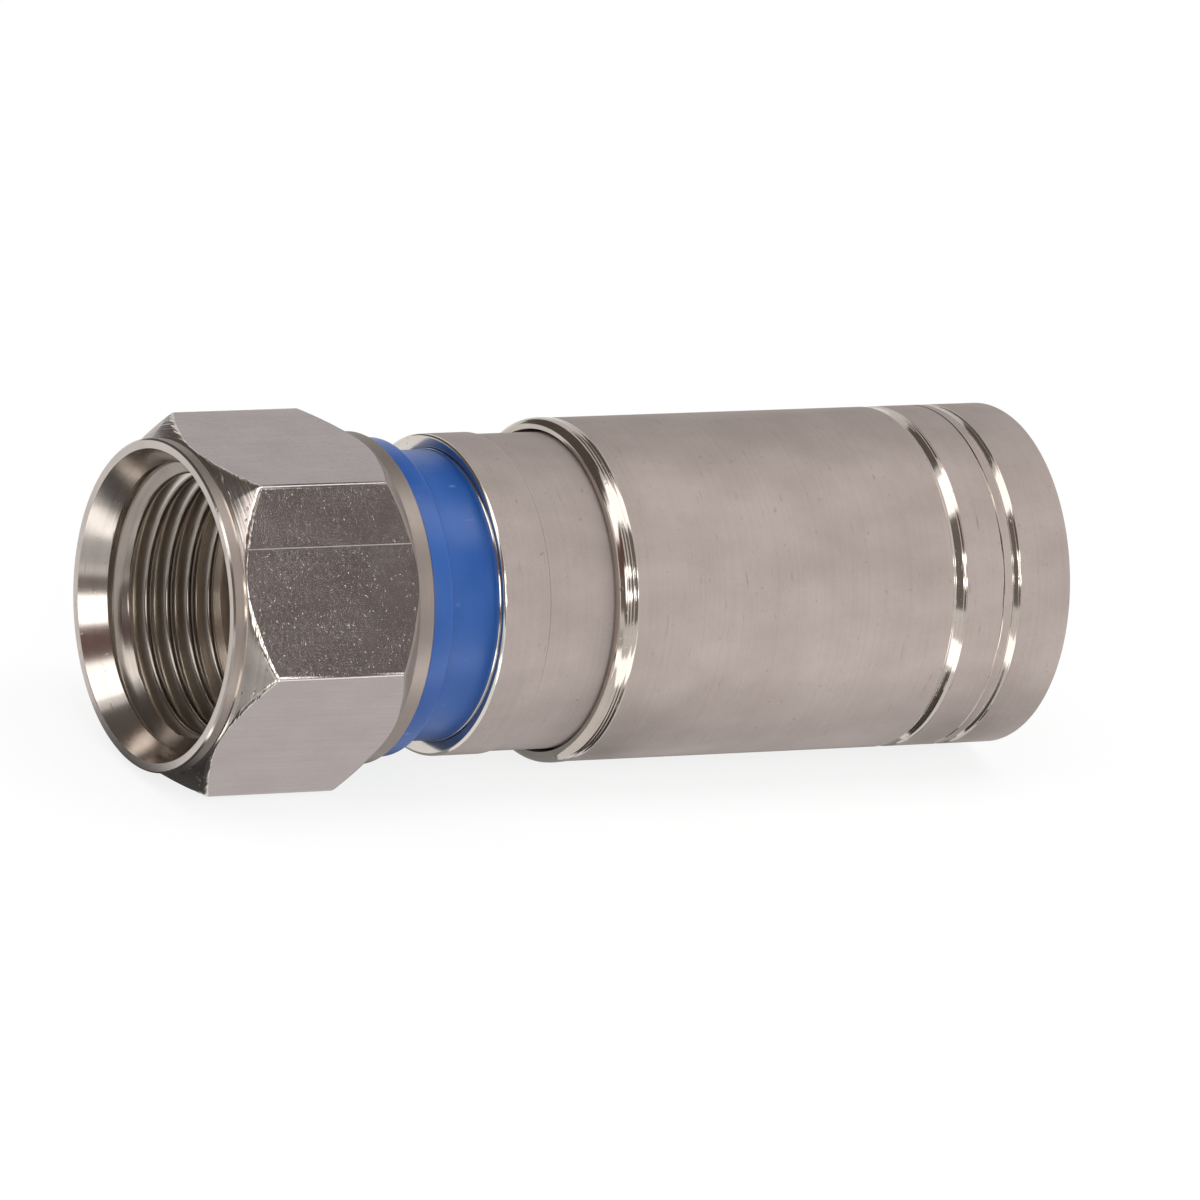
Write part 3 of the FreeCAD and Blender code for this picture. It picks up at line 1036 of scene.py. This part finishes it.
nickel_sleeve = nickel_on_turned_brass(
    "nickel plate on turned sleeve", "BFB4AF", "B5AAA4", 0.76, 0.2, 0.09 * MM, 0.0010 * MM)
nickel_bead = nickel_on_turned_brass(
    "nickel plate on bead and grooves", "CDC3BA", "B9AEA4", 0.12, 0.2, 0.09 * MM, 0.0028 * MM)
sleeve = turned_piece("sleeve", [
    *bead_outline(),
    *groove_outline(*front_groove),
    (tool_line - tool_line_half_width, sleeve_radius),
    (tool_line, sleeve_radius - tool_line_depth),
    (tool_line + tool_line_half_width, sleeve_radius),
    *groove_outline(*rear_groove),
    (sleeve_rear - sleeve_rear_edge, sleeve_radius),
    (sleeve_rear - sleeve_rear_sag, sleeve_radius - sleeve_rear_sag),
    (sleeve_rear, sleeve_radius - sleeve_rear_edge),
    (sleeve_rear, sleeve_lip_radius + sleeve_lip_bevel),
    (sleeve_rear - sleeve_lip_bevel, sleeve_lip_radius),
    (sleeve_lip_front, sleeve_lip_radius),
    (sleeve_lip_front, sleeve_bore_radius),
], nickel_sleeve)


def on_polished_band(x, radius):
    """Whether a point of the sleeve lies on the bead or in a groove, which the tool burnished."""
    if radius < sleeve_bore_radius + bore_skin:
        return False
    cuts = (front_groove, rear_groove,
            (tool_line - tool_line_half_width, tool_line + tool_line_half_width))
    in_groove = any(front < x < rear for front, rear in cuts)
    return x < bead_rear or in_groove


finish_faces(sleeve, nickel_bead, on_polished_band)
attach(sleeve, "sleeve")
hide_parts("compression_sleeve")

# Floor
# A plain white sweep that the connector lies on. Metal mirrors it as clean white, and the
# camera sees it almost white, with the connector's soft shadow kept.
floor_size = 4.0
floor_clearance = 0.01 * MM
floor_level = cad_low.z - floor_clearance
floor_glow_seen = 1.03
floor_glow_mirrored = 0.9
floor_glow_share = 0.8


def white_sweep():
    """Matt white paper, which mirrors as even white in the metal."""
    material, tree = empty_material("white paper")
    rays = add_node(tree, "ShaderNodeLightPath").outputs
    mirrored = add_node(tree, "ShaderNodeMath", {"operation": "MAXIMUM"},
                        {0: rays["Is Glossy Ray"], 1: rays["Is Transmission Ray"]})
    seen = add_node(tree, "ShaderNodeMath", {"operation": "MULTIPLY"},
                    {0: rays["Is Camera Ray"], 1: floor_glow_share})
    level = add_node(tree, "ShaderNodeMapRange", inputs={
        "Value": mirrored,
        "To Min": floor_glow_seen,
        "To Max": floor_glow_mirrored,
    })
    blend = add_node(tree, "ShaderNodeMixShader", inputs={
        0: add_node(tree, "ShaderNodeMath", {"operation": "MAXIMUM"}, {0: mirrored, 1: seen}),
        1: add_node(tree, "ShaderNodeBsdfDiffuse", inputs={"Color": linear("F2F2F2")}),
        2: add_node(tree, "ShaderNodeEmission",
                    inputs={"Color": linear("FFFFFF"), "Strength": level}),
    })
    add_node(tree, "ShaderNodeOutputMaterial", inputs={"Surface": blend})
    return material


floor_mesh = bpy.data.meshes.new("floor")
floor_corners = ((-1, -1), (1, -1), (1, 1), (-1, 1))
floor_mesh.from_pydata(
    [(x * floor_size, y * floor_size, floor_level) for x, y in floor_corners],
    [], [(0, 1, 2, 3)])
floor_mesh.materials.append(white_sweep())
new_object("floor", floor_mesh)

# Camera
# At the photograph's angle: in front of the nut's mouth, to its left and a little above, far
# off behind a long lens, and rolled so that the axis runs almost level.
camera_azimuth = math.radians(-32.76)
camera_elevation = math.radians(20.65)
camera_roll = math.radians(10.41)
camera_distance = 525.1 * MM
camera_aim = Vector((10.555 * MM, -1.406 * MM, 0.173 * MM))
camera_back = Vector((
    math.sin(camera_azimuth) * math.cos(camera_elevation),
    -math.cos(camera_azimuth) * math.cos(camera_elevation),
    math.sin(camera_elevation),
))
camera_data = bpy.data.cameras.new("camera")
camera_data.lens = 471.3
camera_data.sensor_width = 36.0
camera_data.clip_start = 0.05
camera_data.clip_end = 20.0
camera = new_object("camera", camera_data)
camera.location = camera_aim + camera_back * camera_distance
upright = (-camera_back).to_track_quat("-Z", "Y").to_matrix()
camera.rotation_euler = (upright @ Matrix.Rotation(camera_roll, 3, "Z")).to_euler()
scene.camera = camera
scene.view_settings.view_transform = "Standard"

# Studio light
# A white tent all round, with long soft boxes above, low in front and beside the camera, and
# dark gaps between them that the polished metal shows. Boxes and gaps don't show themselves.
tent_radiance = 0.65
tent_radiance_mirrored = 0.85
box_distance = 0.45
lamp_distance = 0.36
near_gap_distance = 0.50
far_gap_distance = 0.52
arch_rows = 9
lamp_half_height = 2.5
band_shade_margin = 0.20 * MM
band_shade_top = -11
band_shade_bottom = -46
band_shade_rows = 8
band_shade_height = 0.006
shade_radiance = 0.08
white = "FFFFFF"
warm_dark = "FFF0E8"

world = bpy.data.worlds.new("white tent")
world.use_nodes = True
scene.world = world
tent = world.node_tree
tent.nodes.clear()
tent_rays = add_node(tent, "ShaderNodeLightPath").outputs
tent_mirrored = add_node(tent, "ShaderNodeMath", {"operation": "MAXIMUM"}, {
    0: tent_rays["Is Glossy Ray"],
    1: tent_rays["Is Transmission Ray"],
})
tent_level = add_node(tent, "ShaderNodeMapRange", inputs={
    "Value": tent_mirrored,
    "To Min": tent_radiance,
    "To Max": tent_radiance_mirrored,
})
tent_extra = add_node(tent, "ShaderNodeMapRange", inputs={
    "Value": tent_rays["Is Camera Ray"],
    "To Max": 1 - tent_radiance,
})
tent_light = add_node(tent, "ShaderNodeBackground", inputs={
    "Color": linear(white),
    "Strength": add_node(tent, "ShaderNodeMath", {"operation": "ADD"},
                         {0: tent_level, 1: tent_extra}),
})
add_node(tent, "ShaderNodeOutputWorld", inputs={"Surface": tent_light})


def glowing(name, radiance, tint):
    """Face of a soft box or of a dark gap, with an even brightness where 1 is white paper."""
    material, tree = empty_material(name)
    face = add_node(tree, "ShaderNodeEmission",
                    inputs={"Color": linear(tint), "Strength": radiance})
    add_node(tree, "ShaderNodeOutputMaterial", inputs={"Surface": face})
    return material


def studio_face(name, points, faces, radiance, tint, lights):
    """Face that the metal mirrors but the camera doesn't see, and that casts no shadow."""
    mesh = bpy.data.meshes.new(name)
    mesh.from_pydata(points, [], faces)
    mesh.materials.append(glowing(name, radiance, tint))
    face = new_object(name, mesh)
    face.visible_camera = False
    face.visible_shadow = False
    face.visible_diffuse = lights


def strip_faces(rows):
    """Faces of a strip whose points are listed in pairs, one pair to a row."""
    return [(2 * n, 2 * n + 1, 2 * n + 3, 2 * n + 2) for n in range(rows - 1)]


def arch(name, reach, start, end, radius, radiance, tint=white, lights=True):
    """Strip bent round the connector's axis, between two stations and two angles.

    Stations and radius are in metres. Angles are in degrees, from level in front of the
    connector, over it and down behind.
    """
    turns = [math.radians(turn) for turn in np.linspace(start, end, arch_rows)]
    points = [(x, -radius * math.cos(turn), radius * math.sin(turn))
              for turn in turns for x in reach]
    studio_face(name, points, strip_faces(arch_rows), radiance, tint, lights)


def floor_patch(name, x_reach, y_reach, height, radiance):
    """Patch a hair above the floor, in millimetres, that only mirrors show.

    Patches that overlap differ in height.
    """
    level = floor_level + height * MM
    points = [(x * MM, y * MM, level) for x in x_reach for y in y_reach]
    studio_face(name, points, [(0, 2, 3, 1)], radiance, white, False)


def band_shade(name, front, rear):
    """Dark strip on the floor where the camera sees it mirrored in a polished band of the sleeve.

    It follows the band's underside between two elevations, in degrees from level.
    """
    level = floor_level + band_shade_height * MM
    points = []
    for elevation in np.radians(np.linspace(band_shade_top, band_shade_bottom,
                                            band_shade_rows)):
        outward = Vector((0, -math.cos(elevation), math.sin(elevation)))
        mirrored = 2 * outward.dot(camera_back) * outward - camera_back
        start = outward * sleeve_radius
        fall = (floor_level - start.z) / mirrored.z
        for station in (front - band_shade_margin, rear + band_shade_margin):
            points.append((station + mirrored.x * fall, start.y + mirrored.y * fall, level))
    studio_face(name, points, strip_faces(band_shade_rows), shade_radiance, warm_dark, False)


arch("top_box", (-0.70, 0.45), 65, 94, box_distance, 2.3)
arch("camera_lamp", (-0.28, -0.08), 14, 36, lamp_distance, 3.0)
for name, middle in (("high_lamp", 33), ("low_lamp", 18)):
    start, end = middle - lamp_half_height, middle + lamp_half_height
    arch(name + "_left", (0.00, 0.14), start, end, lamp_distance, 7.0)
    arch(name + "_right", (0.34, 0.80), start, end, lamp_distance, 5.0)
floor_patch("front_reflector", (-8, 45), (-20, -11), 0.004, 2.3)
floor_patch("front_shade", (-40, -7.5), (-30, -6.0), 0.005, 0.58)
floor_patch("mouth_reflector", (-9.4, -7.6), (-5.8, -0.5), 0.004, 2.0)
floor_patch("mouth_shade", (-7.5, -4.5), (-10.9, 5.0), 0.006, shade_radiance)
band_shade("bead_shade", sleeve_front - 0.3 * MM, bead_rear + 0.3 * MM)
floor_patch("contact_shade", (-4.4, 26), (-2.6, 3.0), 0.003, 0.30)
band_shade("front_groove_shade", *front_groove)
band_shade("rear_groove_shade", *rear_groove)
arch("back_slit", (0.17, 0.42), 101, 146, near_gap_distance, 0.15, warm_dark, lights=False)
arch("back_wall", (0.18, 0.50), 147, 172, far_gap_distance, 0.73, lights=False)
arch("side_gap", (0.15, 0.50), -19, 62, near_gap_distance, 0.20, "FFF4EC", lights=False)
arch("camera_gap_low", (-1.60, -0.06), -18, 34, far_gap_distance, 0.20, "FFEFE6", lights=False)
arch("camera_gap_high", (-1.60, -0.06), 34, 63, far_gap_distance, 0.175, "FFC9C4", lights=False)
arch("back_gap", (-1.00, 0.03), 102, 178, far_gap_distance, 0.12, warm_dark, lights=False)
